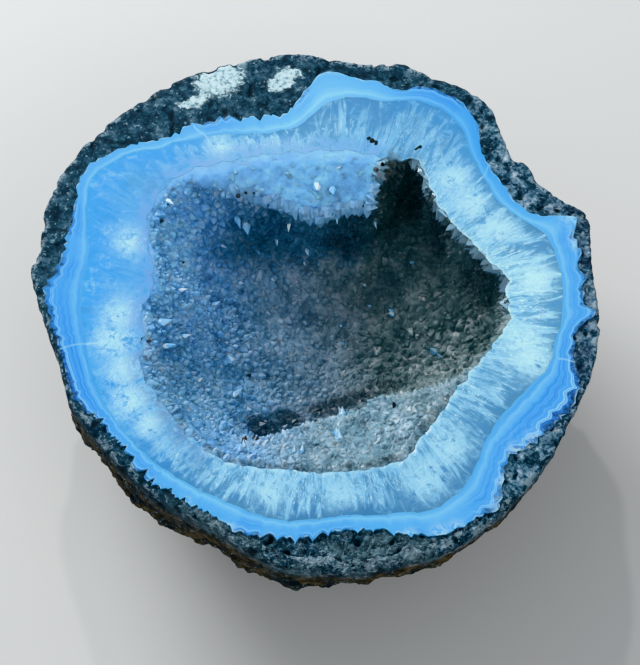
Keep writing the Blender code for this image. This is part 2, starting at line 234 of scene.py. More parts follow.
def noise_at(points, size, octaves=1, roughness=0.5, shift=0.0):
    """Fractal noise at points, about -1 to 1, with features of a size."""
    scaled = points / size + shift
    if octaves == 1:
        return np.array([noise.noise(Vector(p)) for p in scaled])
    return np.array([noise.fractal(Vector(p), roughness, 2.1, octaves) for p in scaled])


def unit(vectors):
    return vectors / np.linalg.norm(vectors, axis=-1, keepdims=True)


def keyed(rows, column, angle):
    table = np.array(rows, float)
    return np.interp(angle, table[:, 0], table[:, column], period=360)


def from_axis(radius, angle, depth):
    """Points by their distance from the axis, angle and depth, in millimetres."""
    turn = np.radians(angle)
    x = AXIS[0] + radius * np.cos(turn)
    y = AXIS[1] + radius * np.sin(turn)
    return np.stack(np.broadcast_arrays(x, y, HEIGHT - depth), axis=-1)


RIM_LINE = softened(RIM, 1.0)
AGATE_LINE = softened(AGATE, 1.0)
QUARTZ_LINE = softened(QUARTZ, 2.0)
HOLLOW_LINE = softened(HOLLOW, 1.2)
AGATE_TEETH = zigzag(3, 1.15, 0.6, 0.5)
AGATE_LOBES = zigzag(8, 4.5, 0.55, 0.55)
AGATE_FOLDS = zigzag(9, 2.6, 1.0, 1.0)
ROCK_SPIKES = cells(12, 1.1, 3.6)
ROCK_LUMPS = cells(25, 2.2, 5.5)
AGATE_DOMES = cells(15, 3.5, 8.0)
PLUMES = cells(18, 4.0, 9.5)
QUARTZ_STEPS = zigzag(5, 2.6, 0.3, 0.3)
QUARTZ_FRAY = zigzag(6, 0.9, 0.14, 0.14)


def rim_edge(angle):
    """The chipped outer edge of the face."""
    points = from_axis(RIM_LINE(angle), angle, 0.0)
    waves = 0.4 * noise_at(points, 3.2) + 0.3 * noise_at(points, 1.1, shift=7.0)
    chips = smooth(0.15, 0.5, noise_at(points, 2.4, shift=19.0))
    return RIM_LINE(angle) - 0.3 + waves - 0.9 * chips


# Where the agate's edge stands out or in by itself: (angle, reach in degrees, how far out)
AGATE_CORNERS = ((23.5, 3.4, 3.4), (1.2, 2.2, 2.4), (356.0, 3.5, -1.4))


def agate_edge(angle):
    """The agate's jagged outer edge, always inside the rock."""
    spiky = 0.5 + swells(angle, (185, 110, 0.5), (322, 26, 0.9), (112, 30, 0.9), (10, 30, 0.6))
    lobed = 1 + swells(angle, (112, 30, 1.1), (10, 30, 0.6))
    jagged = AGATE_LINE(angle) + AGATE_TEETH(angle) * spiky + AGATE_LOBES(angle) * lobed
    jagged = jagged + swells(angle, *AGATE_CORNERS)
    number, width, share = ROCK_SPIKES(angle)
    length = 0.75 * width * np.abs(np.sin(number * 2.4)) * near(angle, 215, 36)
    lean = 0.45 * np.sin(number * 5.1)
    jagged = jagged - length * np.clip(1 - np.abs(share - lean) / 0.5, 0, 1)
    number, width, share = ROCK_LUMPS(angle)
    lump = 0.42 * width * (np.sqrt(1 - share ** 2) - 0.55) * (0.4 + 0.6 * np.abs(np.sin(number * 3.7)))
    return np.minimum(jagged - lump * near(angle, 272, 42), RIM_LINE(angle) - THINNEST_RIND)


def quartz_edge(angle):
    number, width, share = AGATE_DOMES(angle)
    domes = 0.07 * width * np.sqrt(1 - share ** 2) * (0.4 + 0.6 * np.abs(np.sin(number * 1.7)))
    return np.minimum(QUARTZ_LINE(angle), AGATE_LINE(angle) - THINNEST_AGATE) + 0.3 - domes


def hollow_edge(angle):
    """The quartz's inner edge: it bulges plume by plume, and is stepped from crystal to crystal."""
    number, width, share = PLUMES(angle)
    bulge = 0.12 * width * (0.6 - (1 - share ** 2)) * (0.5 + 0.5 * np.abs(np.sin(number * 1.3)))
    return HOLLOW_LINE(angle) + bulge + QUARTZ_STEPS(angle) + QUARTZ_FRAY(angle)


def wall_profile(angle):
    """The corners of the hollow's wall, as distances and depths, and the station of each."""
    ledge, ledge_depth, foot, foot_depth = (keyed(HOLLOW_WALL, k, angle) for k in (1, 2, 3, 4))
    floor_depth = foot_depth + (HOLLOW_DEPTH - foot_depth) * MID_FLOOR_SINK
    ones = np.ones_like(ledge)
    radii = HOLLOW_LINE(angle) * np.stack((ones, ledge, foot, foot * MID_FLOOR_SHARE, 0 * ones))
    depths = np.stack((0 * ones, ledge_depth, foot_depth, floor_depth, HOLLOW_DEPTH * ones))
    corners = np.stack((radii, depths))
    lengths = np.hypot(*np.diff(corners, axis=1))
    return corners, np.concatenate((0 * lengths[:1], np.cumsum(lengths, axis=0))) / lengths.sum(axis=0)


def hollow_points(angle, station):
    """Points of the hollow's wall, with its corners eased."""
    corners, ends = wall_profile(angle)
    width = np.minimum(WALL_SOFTENING, np.minimum(station, 1 - station))
    shares = np.linspace(-1.0, 1.0, 5)
    eased = 0.0
    for share in shares:
        steps = np.clip((station + width * share - ends[:-1]) / np.diff(ends, axis=0), 0.0, 1.0)
        eased = eased + corners[:, 0] + (np.diff(corners, axis=1) * steps).sum(axis=1)
    radius, depth = eased / len(shares)
    points = from_axis(radius, angle, depth)
    fade = np.minimum(1.0, station / HOLLOW_LUMP_FADE) ** 2
    lumps = noise_at(points, HOLLOW_LUMP_SIZE, 2, HOLLOW_LUMP_ROUGHNESS)
    points[:, 2] += lumps * HOLLOW_LUMP_HEIGHT * fade
    return points


def on_disc(flat):
    """Angles and stations of points on the unit disc that the hollow is laid out on."""
    angle = np.degrees(np.arctan2(flat[:, 1], flat[:, 0])) % 360
    return angle, np.clip(1 - np.hypot(flat[:, 0], flat[:, 1]), 0.0, 1.0)


def wall_frames(flat):
    """The hollow's points and the directions square to it, for points on the unit disc."""
    step = 0.012
    points = hollow_points(*on_disc(flat))
    along_u = hollow_points(*on_disc(flat + (step, 0))) - hollow_points(*on_disc(flat - (step, 0)))
    along_v = hollow_points(*on_disc(flat + (0, step))) - hollow_points(*on_disc(flat - (0, step)))
    return points, unit(np.cross(along_u, along_v))


def make_object(name, material, points, faces, slot, replaces, smooth_faces, **fields):
    """A mesh from points in millimetres, riding on the stone and standing for its solid."""
    data = bpy.data.meshes.new(name)
    data.vertices.add(len(points))
    data.vertices.foreach_set("co", (points * MM).astype(np.float32).ravel())
    data.loops.add(faces.size)
    data.loops.foreach_set("vertex_index", faces.astype(np.int32).ravel())
    data.polygons.add(len(faces))
    data.polygons.foreach_set("loop_start", np.arange(0, faces.size, faces.shape[1], dtype=np.int32))
    data.update(calc_edges=True)
    if smooth_faces:
        data.shade_smooth()
    else:
        data.shade_flat()
    for key, values in fields.items():
        kind, part = ("FLOAT", "value") if values.ndim == 1 else ("FLOAT_VECTOR", "vector")
        made = data.attributes.new(key, kind, "FACE" if len(values) == len(faces) else "POINT")
        made.data.foreach_set(part, values.astype(np.float32).ravel())
    obj = bpy.data.objects.new(name, data)
    bpy.context.scene.collection.objects.link(obj)
    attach(obj, "root")
    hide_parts(replaces)
    data.materials.append(material)


def grid_faces(rows, columns):
    """Quads between neighbouring rows of points, closed round the columns."""
    row, column = np.meshgrid(np.arange(rows - 1), np.arange(columns), indexing="ij")
    here = row * columns + column
    beside = row * columns + (column + 1) % columns
    return np.stack((here, beside, beside + columns, here + columns), axis=-1).reshape(-1, 4)


def laid_out(grid):
    """The angle and the row of each of a grid's points."""
    columns, rows = grid
    return np.tile(np.arange(columns) * 360.0 / columns, rows), np.repeat(np.arange(rows), columns)


def ray_of(angle):
    """The direction outwards, scaled to millimetres at a middling distance from the axis."""
    turn = np.radians(angle)
    return RAY_LENGTH * np.stack((np.cos(turn), np.sin(turn), 0 * turn), axis=-1)


def lumpy(points, fall):
    """The rock's outside, pushed in or out by its lumps, which fade out at the face."""
    fade = np.minimum(1.0, fall / LUMP_FADE_DEGREES)
    middle = np.array((AXIS[0], AXIS[1], HEIGHT - LUMP_CENTRE_DEPTH))
    outward = unit(points - middle)
    size = noise_at(points, LUMP_SIZE, LUMP_OCTAVES, LUMP_ROUGHNESS)
    return points + outward * (size * LUMP_HEIGHT * fade)[:, None], outward


def craggy(points, outward, amount):
    """The rock's fine relief: small lumps, sharp grains and pits."""
    lumps = noise_at(points, 2.6, 3, 0.4, shift=3.0)
    grains = noise_at(points, 0.9, shift=11.0)
    pits = smooth(0.25, 0.6, noise_at(points, 1.9, shift=23.0))
    relief = 0.32 * lumps + 0.14 * grains - 0.7 * pits
    return points + outward * (relief * amount)[:, None], pits


def make_rock_outside(material):
    """The rough back of the stone, from just under the face down to the flat that it rests on."""
    columns, rows = OUTSIDE_GRID
    angle, row = laid_out(OUTSIDE_GRID)
    first, last = OUTSIDE_FALL
    fall = first + (last - first) * (row / (rows - 1)) ** 1.05
    turn = np.radians(fall)
    share = np.cos(turn) - keyed(DRAWN_IN, 1, angle) * np.sin(2 * turn)
    depth = RIND_DEPTH * np.sin(turn)
    chips = rim_edge(angle) - RIM_LINE(angle)
    base = from_axis(RIM_LINE(angle) * share + chips * np.exp(-depth / CHIP_DEPTH), angle, depth)
    points, outward = lumpy(base, fall)
    points, pits = craggy(points, outward, 0.75 * np.minimum(1.0, fall / 6))
    points[:, 2] = np.maximum(points[:, 2], 0.0)
    ring = angle[:columns]
    tucked = from_axis(rim_edge(ring) - TUCK, ring, depth[0])
    points = np.concatenate((tucked, points, [(AXIS[0], AXIS[1], 0.0)]))
    lowest = rows * columns + np.arange(0, columns, 2)
    pole = np.full(len(lowest), len(points) - 1)
    cap = np.stack((lowest, lowest + 1, np.append(lowest[1:], lowest[0]), pole), axis=-1)
    faces = np.concatenate((grid_faces(rows + 1, columns), cap))[:, ::-1]
    ends = (columns, 1)
    make_object(
        "rock_outside", material, points, faces, "rock", "rind", True,
        pit=np.pad(pits, ends),
        side=np.pad(smooth(1.0, 6.0, fall), ends, constant_values=(0, 1)),
        rim=np.pad(smooth(3.0, 0.8, fall), ends, constant_values=(1, 0)),
        calcite=np.zeros(len(points)),
    )


def calcite_field(points):
    """How far inside a white calcite patch a point is. The shader frays its edge, near 0.5."""
    patches = (
        (112.6, 63.0, 3.6, 3.4), (109.6, 63.0, 3.2, 3.6), (110.5, 65.5, 4.5, 1.8), (119.4, 60.0, 2.4, 0.9),
        (117.0, 60.2, 2.0, 1.0), (99.6, 58.4, 2.4, 1.8), (96.9, 60.9, 2.3, 1.6), (98.2, 59.6, 2.0, 2.1),
    )
    field = np.zeros(len(points))
    for angle, radius, wide, high in patches:
        centre = from_axis(radius, angle, 0.0)
        away = np.hypot((points[:, 0] - centre[0]) / wide, (points[:, 1] - centre[1]) / high)
        field = np.maximum(field, 1.25 - 0.75 * away)
    return np.clip(field, 0.0, 1.0)


def make_rock_face(material):
    """The sawn rock round the agate, its chipped edge and the top of its side."""
    columns, rows = FACE_GRID
    angle, row = laid_out(FACE_GRID)
    outer = rim_edge(angle)
    inner = agate_edge(angle) - UNDER_AGATE
    across = np.clip((row - SIDE_ROWS) / (rows - 1 - SIDE_ROWS), 0.0, 1.0)
    down = np.clip((SIDE_ROWS - row) / SIDE_ROWS, 0.0, 1.0)
    edge_distance = (outer - inner) * across
    rounding = 0.5 * np.exp(-edge_distance / 0.3)
    depth = ROCK_BELOW_FACE + rounding + SIDE_OVERLAP * down
    points = from_axis(outer - edge_distance - 0.5 * down, angle, depth)
    sunk = swells(angle, (275, 75, 2.0), (20, 60, 0.6))
    points[:, 2] -= 0.3 * sunk * smooth(0.0, 1.5, edge_distance)
    up = np.tile((0.0, 0.0, 1.0), (len(points), 1))
    points, pits = craggy(points, up, (0.25 + sunk) * (1 - down))
    points[:, 2] = np.minimum(points[:, 2], HEIGHT - 0.03)
    make_object(
        "rock_face", material, points, grid_faces(rows, columns), "rock", "rind", True,
        pit=pits,
        side=np.zeros(len(points)),
        rim=smooth(1.7, 0.1, edge_distance),
        calcite=calcite_field(points),
    )


def crack_field(angle, radius):
    """Thin healed cracks that cross the bands: 1 on a crack and 0 away from it."""
    cracks = (
        (187.4, 186.7, 58.0, 46.0), (43.6, 45.2, 46.5, 52.0), (349.8, 349.0, 57.0, 50.0),
        (121.0, 119.5, 55.0, 47.5), (7.0, 9.0, 50.0, 43.0),
    )
    field = np.zeros(len(angle))
    for outer_angle, inner_angle, outer, inner in cracks:
        along = np.clip((outer - radius) / (outer - inner), 0, 1)
        at = outer_angle + (inner_angle - outer_angle) * along + 0.25 * np.sin(along * 9)
        away = np.abs((angle - at + 180) % 360 - 180) * np.radians(1) * radius
        inside = (radius < max(outer, inner)) & (radius > min(outer, inner))
        field = np.maximum(field, np.exp(-(away / 0.14) ** 2) * inside)
    return field


def blue_side(angle):
    """1 where the stone is deepest blue, at the left and at the back left, and 0 opposite."""
    return np.clip(swells(angle, (168, 82, 1.7), (60, 40, 0.35)), 0, 1)


def make_agate(material):
    """The polished agate band, with layers that follow its jagged edge on the rock."""
    columns, rows = AGATE_GRID
    angle, row = laid_out(AGATE_GRID)
    across = np.clip((row - 1) / (rows - 3), 0.0, 1.0)
    outer = agate_edge(angle)
    radius = outer + (quartz_edge(angle) - outer) * across
    down = (row == 0) | (row == rows - 1)
    folds = 0.09 + swells(angle, (335, 60, 0.11))
    points = from_axis(radius, angle, down * BAND_THICKNESS)
    make_object(
        "agate_band", material, points, grid_faces(rows, columns), "agate", "agate_layer", False,
        level=across - folds * AGATE_FOLDS(angle) * (1 - across) ** 2,
        inset=outer - radius,
        ray=ray_of(angle),
        pale=swells(angle, (92, 26, 1.0), (52, 28, -1.0), (178, 50, -0.6)),
        crack=crack_field(angle, radius),
        chalk=patch_field(points, CHALKY_PATCHES),
        streaky=np.clip(swells(angle, (340, 50, 1.0), (195, 45, 1.0)), 0, 1),
    )


def make_quartz(material):
    """The polished quartz band, turned down into the hollow along its inner edge."""
    columns, rows = QUARTZ_GRID
    angle, row = laid_out(QUARTZ_GRID)
    outer = quartz_edge(angle)
    inner = hollow_edge(angle)
    across = np.clip((row - 1) / (rows - 2 - WALL_ROWS), 0.0, 1.0)
    radius = outer + (inner - outer) * across
    points = from_axis(radius, angle, np.where(row == 0, BAND_THICKNESS, 0.0))
    station = np.clip(row - (rows - 1 - WALL_ROWS), 0, None) / WALL_ROWS * 0.12
    wall = station > 0
    points[wall] = hollow_points(angle[wall], station[wall])
    first = row == rows - WALL_ROWS
    points[first, 2] = np.minimum(points[first, 2], HEIGHT - 0.4)
    make_object(
        "quartz_band", material, points, grid_faces(rows, columns), "quartz", "quartz_layer", False,
        across=across,
        inward=np.maximum(0.0, radius - inner),
        strand=strand_field(angle, across),
        blue=blue_side(angle),
        crack=crack_field(angle, radius),
        cloud=patch_field(points, MILKY_PATCHES),
        clear=patch_field(points, CLEAR_PATCHES),
        black=patch_field(points, HOLE_SHADE_PATCHES),
        outlined=outlined_share(angle),
        pale=swells(angle, (5, 25, 1.0), (285, 60, -1.1), (72, 32, -0.8), (226, 22, -0.8)),
        melted=np.clip(1 - 1.5 * outlined_share(angle) + swells(angle, (222, 30, 0.8)), 0, 1),
        tint=druse_tint(points, 0 * angle),
    )


def outlined_share(angle):
    """1 where a white line edges the quartz at the hollow, and 0 at the back and left."""
    return np.clip(1 - blue_side(angle) - swells(angle, (100, 48, 1.6), (282, 50, 0.35)), 0, 1)


def strand_field(angle, across):
    """Coordinates across and along the quartz's fibres, which fan out towards the hollow."""
    number, width, share = PLUMES(angle)
    fanned = 0.75 * share * width / (0.5 + 0.5 * across)
    along = 10.0 * across + 2.5 * np.sin(number * 2.9)
    return np.stack((fanned + number * 17.0, along, 0 * along), axis=-1)


# Patches in the agate and in the quartz: (angle, distance from the axis, size)
CHALKY_PATCHES = (
    (328, 51.0, 1.6), (323, 49.3, 1.6), (311, 55.0, 2.0), (315, 51.5, 1.4), (296.5, 52.8, 1.8),
    (300, 53.5, 1.6), (290, 50.8, 1.3), (24, 60.2, 3.4), (18, 57.0, 1.4), (248, 49.8, 1.2), (236, 49.0, 1.0),
)
MILKY_PATCHES = (
    (348, 44.5, 4.0), (352, 42.5, 3.4), (179, 42.0, 3.8), (187, 43.5, 4.2), (196, 42.5, 4.0),
    (205, 43.0, 4.4), (214, 42.5, 3.0), (300, 41.0, 4.0), (312, 39.0, 3.0),
    (255, 40.0, 3.0), (275, 39.0, 3.0), (30, 42.5, 3.4), (12, 46.0, 3.2), (50, 44.0, 3.4),
    (40, 42.5, 3.0), (156, 44.5, 3.2), (118, 47.0, 2.6),
)
CLEAR_PATCHES = (
    (66, 51.5, 5.0), (58, 49.5, 3.5), (76, 50.0, 4.5), (90, 46.0, 4.0), (322, 38.5, 3.4), (318, 41.0, 3.0),
    (338, 37.5, 3.0), (233, 42.0, 3.0), (140, 50.0, 4.5), (290, 43.5, 3.0),
)
# Dark spots painted as the shade of tiny holes in the quartz
HOLE_SHADE_PATCHES = (
    (75.6, 44.4, 0.8), (76.8, 44.9, 0.6), (74.4, 44.1, 0.7), (62.6, 46.8, 0.6), (63.4, 45.9, 0.5),
    (187.4, 37.6, 0.6),
)


def patch_field(points, patches):
    """Soft round patches on the face, placed by angle and distance from the axis."""
    field = np.zeros(len(points))
    for angle, radius, size in patches:
        centre = from_axis(radius, angle, 0.0)
        away = np.hypot(points[:, 0] - centre[0], points[:, 1] - centre[1])
        field = np.maximum(field, np.exp(-(away / size) ** 2))
    return field


# The druse's colour from left to right, by the distance from the axis in X: partly the crust's own
# blue-to-olive colour and partly painted light, the bright blue at the left standing in for light shining
# through the blue stone and sky reflected in the crystals
ACROSS_DRUSE = (
    (-36, (0.19, 0.46, 0.88)), (-29, (0.185, 0.44, 0.85)), (-22, (0.155, 0.36, 0.66)),
    (-12, (0.19, 0.36, 0.53)), (0, (0.22, 0.34, 0.43)), (12, (0.145, 0.215, 0.22)), (36, (0.13, 0.2, 0.2)),
)
LAVENDER = (0.26, 0.61, 1.0)
PAINTED_LIGHT_GREY = (0.185, 0.325, 0.4)
AZURE = (0.17, 0.45, 0.87)
SLATE = (0.155, 0.37, 0.62)
# The last three colours are painted shade, for the places below
SHADE_DEEP_BLUE = (0.016, 0.105, 0.2)
SHADE_INK = (0.01, 0.034, 0.052)
SHADE_BLACK = (0.018, 0.032, 0.034)

# Painted shade on the crust, under the shelf, in the cove under the overhang and in the crevice at the front:
# X and Y from the axis, half the width, half the height, strength, colour
PAINTED_SHADE_PLACES = (
    (-4, 27.5, 17, 5.5, 0.85, SHADE_DEEP_BLUE), (-17, 25, 9, 5, 0.7, SHADE_DEEP_BLUE), (5, 29, 7, 5, 0.75, SHADE_INK),
    (12, 37, 8, 8, 0.86, SHADE_BLACK), (21, 37, 7, 6, 0.75, SHADE_BLACK), (37, 19, 6, 9, 0.97, SHADE_BLACK),
    (29, 28, 6, 6, 0.95, SHADE_BLACK), (-13, -18.5, 6, 4, 0.85, SHADE_BLACK), (-7, -14.5, 5, 3, 0.85, SHADE_BLACK),
    (0, -11.5, 6, 3, 0.8, SHADE_BLACK), (6, -9.5, 6, 3, 0.78, SHADE_BLACK), (13, -7.5, 6, 3.5, 0.65, SHADE_BLACK),
)


def blend(colours, other, share):
    """Colours mixed with another colour, each by its own share."""
    share = np.clip(share, 0, 1)[:, None]
    return colours * (1 - share) + np.array(other) * share


def druse_tint(points, station):
    """The druse's colour: blue at the left, olive at the right, paler by the face and on the shelf, with
    painted light on the upper left and on the near wall, and painted shade under the shelf, in the cove and
    in the crevice.
    """
    x = points[:, 0] - AXIS[0]
    y = points[:, 1] - AXIS[1]
    depth = HEIGHT - points[:, 2]
    angle = np.degrees(np.arctan2(y, x)) % 360
    places = [row[0] for row in ACROSS_DRUSE]
    shades = np.array([row[1] for row in ACROSS_DRUSE])
    wander = noise_at(points, 6.0)
    drift = x + 0.12 * y + 3.0 * wander
    tint = np.stack([np.interp(drift, places, shades[:, k]) for k in range(3)], axis=-1)
    # Painted light: the upper left, below the face, lighter as where its slope catches the light
    painted_light_upper_left = near(angle, 145, 45) * smooth(0.42, 0.2, station)
    tint = tint * (1 + 0.35 * painted_light_upper_left)[:, None]
    tint = blend(tint, SLATE, near(angle, 208, 48) * smooth(0.7, 0.45, station))
    # Painted shade: darker under the shelf, in the cove under the overhang and in the crevice at the front
    for place_x, place_y, wide, high, strength, colour in PAINTED_SHADE_PLACES:
        away = np.hypot((x - place_x) / wide, (y - place_y) / high) + 0.25 * wander
        tint = blend(tint, colour, strength * smooth(1.25, 0.35, away))
    # Painted light: the near wall, which faces the window, paler grey
    painted_light_near_wall = near(angle, 290, 52) * smooth(16.0, 8.0, depth)
    painted_light_near_wall = np.maximum(painted_light_near_wall, 0.5 * near(angle, 325, 30) * smooth(0.5, 0.2, station))
    tint = blend(tint, PAINTED_LIGHT_GREY, painted_light_near_wall * 1.3)
    edge = smooth(0.16, 0.0, station) * near(angle, 155, 62)
    tint = blend(tint, AZURE, edge * 1.3)
    return blend(tint, LAVENDER, shelf_share(angle, station) * (1 - 0.3 * smooth(100, 128, angle)))


def shelf_share(angle, station):
    """1 on the raised shelf at the back and 0 off it."""
    sides = smooth(69.5, 71.5, angle) * smooth(150, 120, angle)
    lower_edge = ledge_station(angle) - 0.02 - 0.03 * near(angle, 74, 14)
    return sides * (1 - smooth(-0.008, 0.012, station - lower_edge))


def misty_share(angle, station):
    """1 where the crust is too misty to tell from the quartz: on the shelf and along the left edge."""
    left = near(angle, 165, 80) * smooth(0.06, 0.0, station)
    return np.clip(shelf_share(angle, station) + 1.4 * left, 0, 1)


def make_bed(material):
    """The crust that the crystals stand in."""
    columns, rows = BED_GRID
    angle, row = laid_out(BED_GRID)
    station = 0.998 * row / (rows - 1)
    turn = np.radians(angle)
    flat = np.stack((np.cos(turn), np.sin(turn)), axis=-1) * (1 - station)[:, None]
    points, normals = wall_frames(flat)
    misty = misty_share(angle, station)
    lift = 0.95 * smooth(0.0, 0.05, station) + 0.3 * noise_at(points, 1.6, 2, 0.6, shift=5.0) + 0.15 * misty
    points = points + normals * lift[:, None]
    rise = 0.4 * misty * smooth(0.03, 0.0, station)
    points[:, 2] = np.minimum(points[:, 2] + rise, HEIGHT - 0.4 + 0.36 * misty)
    points[:columns] = from_axis(HOLLOW_LINE(angle[:columns]) + 1.6, angle[:columns], 0.06)
    make_object(
        "druse_bed", material, points, grid_faces(rows, columns), "crystals", "crystal_crust", True,
        tint=druse_tint(points, station),
        shade=np.full(len(points), 0.45),
        misty=shelf_share(angle, station),
    )


def crystal_mesh(feet, axes, radii, lengths, rng, foot_share):
    """Joined six-sided crystals: a short prism and a point with uneven faces, sunk a little into the bed."""
    count = len(feet)
    spare = np.where(np.abs(axes[:, 2:3]) < 0.9, (0.0, 0.0, 1.0), (1.0, 0.0, 0.0))
    side = unit(np.cross(axes, spare))
    other = np.cross(axes, side)
    spin = rng.uniform(0, math.tau, count)[:, None] + np.arange(6) * math.tau / 6
    uneven = rng.uniform(0.82, 1.15, (count, 6)) * radii[:, None]
    ring = (np.cos(spin) * uneven)[..., None] * side[:, None]
    ring = ring + (np.sin(spin) * uneven)[..., None] * other[:, None]
    feet = feet[:, None]
    grown = axes[:, None] * lengths[:, None, None]
    low = feet + ring - axes[:, None] * radii[:, None, None] * 0.9
    shoulder = feet + ring * 0.97 + grown * foot_share * rng.uniform(0.75, 1.25, (count, 6, 1))
    tip = feet + grown + ring[:, :1] * rng.uniform(-0.3, 0.3, (count, 1, 1))
    points = np.concatenate((low, shoulder, tip), axis=1)
    k = np.arange(6)
    after = (k + 1) % 6
    corners = (k, after, after + 6), (k, after + 6, k + 6), (k + 6, after + 6, np.full(6, 12))
    pattern = np.concatenate([np.stack(three, axis=-1) for three in corners])
    faces = (np.arange(count) * CRYSTAL_POINTS)[:, None, None] + pattern
    return points.reshape(-1, 3), faces.reshape(-1, 3)


def make_crystals(name, material, mesh, **fields):
    """Joined crystals as one piece, kept below the face. A field has a value for each crystal or face."""
    points, faces = mesh
    points[:, 2] = np.minimum(points[:, 2], HEIGHT - 0.08)
    for key, values in fields.items():
        if len(values) < len(faces):
            fields[key] = np.repeat(values, CRYSTAL_POINTS, axis=0)
    make_object(name, material, points, faces, "crystals", "crystal_crust", False, **fields)


def scattered(spacing, seed):
    """Points spread evenly over the unit disc, with a little disorder."""
    rng = np.random.default_rng(seed)
    step = spacing / HOLLOW_REACH
    count = int(1 / step) + 2
    row, column = np.meshgrid(np.arange(-count * 1.2, count * 1.2), np.arange(-count * 1.6, count * 1.6))
    row = np.floor(row.ravel())
    column = np.floor(column.ravel())
    flat = np.stack((column + 0.5 * (row % 2), row * math.sqrt(0.75)), axis=-1)
    flat = (flat + rng.uniform(-STRAY, STRAY, flat.shape)) * step
    return flat[np.hypot(flat[:, 0], flat[:, 1]) < 0.985], rng


def ledge_station(angle):
    """The station of the ledge's edge."""
    return wall_profile(angle)[1][1]


# Rows of larger clear crystals: (from angle, to angle, station past the start, spacing, length, droop)
EDGE_ROWS = (
    (4, 64, 0.012, 1.5, 3.0, 0.3), (2, 63, 0.035, 1.7, 2.8, 0.6), (-8, 60, 0.06, 2.0, 2.4, 0.8),
)
LEDGE_ROWS = (
    (70.5, 122, -0.04, 1.1, 2.2, 0.7), (71, 118, -0.022, 1.2, 2.0, 1.1),
)


def make_druse(material):
    """The crystals that line the hollow, in two sizes, wide and low enough to grow into each other."""
    # The last column caps the facet values: the fine crystals' reach the painted glints, the large ones' stay
    # below them
    for name, spacing, seed, sizes, lengths, painted_glint_reach in (
        ("druse_crystals", 1.85, 21, (1.1, 1.75), (1.0, 1.9), 0.99),
        ("druse_fine", 1.25, 22, (0.6, 1.0), (0.8, 1.5), 1.0),
    ):
        flat, rng = scattered(spacing, seed)
        flat = flat[on_disc(flat)[1] > 0.02]
        angle, station = on_disc(flat)
        feet, normals = wall_frames(flat)
        count = len(feet)
        axes = unit(normals + rng.normal(0, 0.26, normals.shape))
        front = near(angle, 285, 70) * smooth(0.45, 0.3, station)
        front_left = near(angle, 222, 35) * smooth(0.3, 0.1, station)
        low = np.maximum(0.42 * misty_share(angle, station), np.maximum(0.25 * front, 0.4 * front_left))
        heights = rng.uniform(*lengths, count) * (1 - low)
        radii = rng.uniform(*sizes, count)
        make_crystals(
            name, material, crystal_mesh(feet + normals * 0.25, axes, radii, heights, rng, 0.12),
            tint=druse_tint(feet, station),
            shade=rng.uniform(0, 1, count),
            misty=shelf_share(angle, station),
            facet=rng.uniform(0, 1, count * CRYSTAL_FACES) * painted_glint_reach,
        )


def make_rim_crystals(material):
    """The larger clear points along the overhanging right edge, and along the shelf's lip and end."""
    rng = np.random.default_rng(31)
    feet = []
    axes = []
    lengths = []
    for rows, start_station, sunk in ((EDGE_ROWS, lambda angle: 0.0, 0.8), (LEDGE_ROWS, ledge_station, -0.9)):
        for start, end, past, spacing, length, droop in rows:
            angle = start
            while angle < end:
                at = np.array([angle])
                station = start_station(at) + past + rng.uniform(-0.006, 0.006)
                foot = hollow_points(at, station + np.zeros(1))[0]
                inward = -ray_of(at)[0] / RAY_LENGTH
                feet.append(foot - inward * sunk)
                axes.append(inward + (0, 0, -droop) + rng.normal(0, 0.16, 3))
                lengths.append(length * rng.uniform(0.7, 1.15))
                angle += math.degrees(spacing * rng.uniform(0.7, 1.3) / np.hypot(*(foot[:2] - AXIS)))
    for station in np.arange(0.03, 0.22, 0.016):
        foot = hollow_points(np.array([71.0]), np.array([station]))[0]
        feet.append(foot + (0.2, 0.0, 0.7))
        axes.append((1.0, -0.3, 0.1) + rng.normal(0, 0.25, 3))
        lengths.append(rng.uniform(1.4, 2.2))
    feet = np.array(feet)
    lengths = np.array(lengths)
    radii = rng.uniform(0.5, 0.8, len(feet)) * lengths
    mesh = crystal_mesh(feet, unit(np.array(axes)), radii, lengths, rng, 0.12)
    on_shelf = (feet[:, 1] > AXIS[1]) & (feet[:, 0] < AXIS[0] + 12)
    shelf_facets = np.repeat(on_shelf, CRYSTAL_FACES)
    # How light each facet is painted, as light through clear quartz makes it, in a narrower range on the
    # shelf
    bright = rng.uniform(0, 1, len(shelf_facets)) * np.where(shelf_facets, 0.4, 1.0) + 0.3 * shelf_facets
    tints = np.where(on_shelf[:, None], (0.32, 0.62, 0.92), (0.27, 0.46, 0.58))
    make_crystals("rim_crystals", material, mesh, tint=tints, facet=bright)


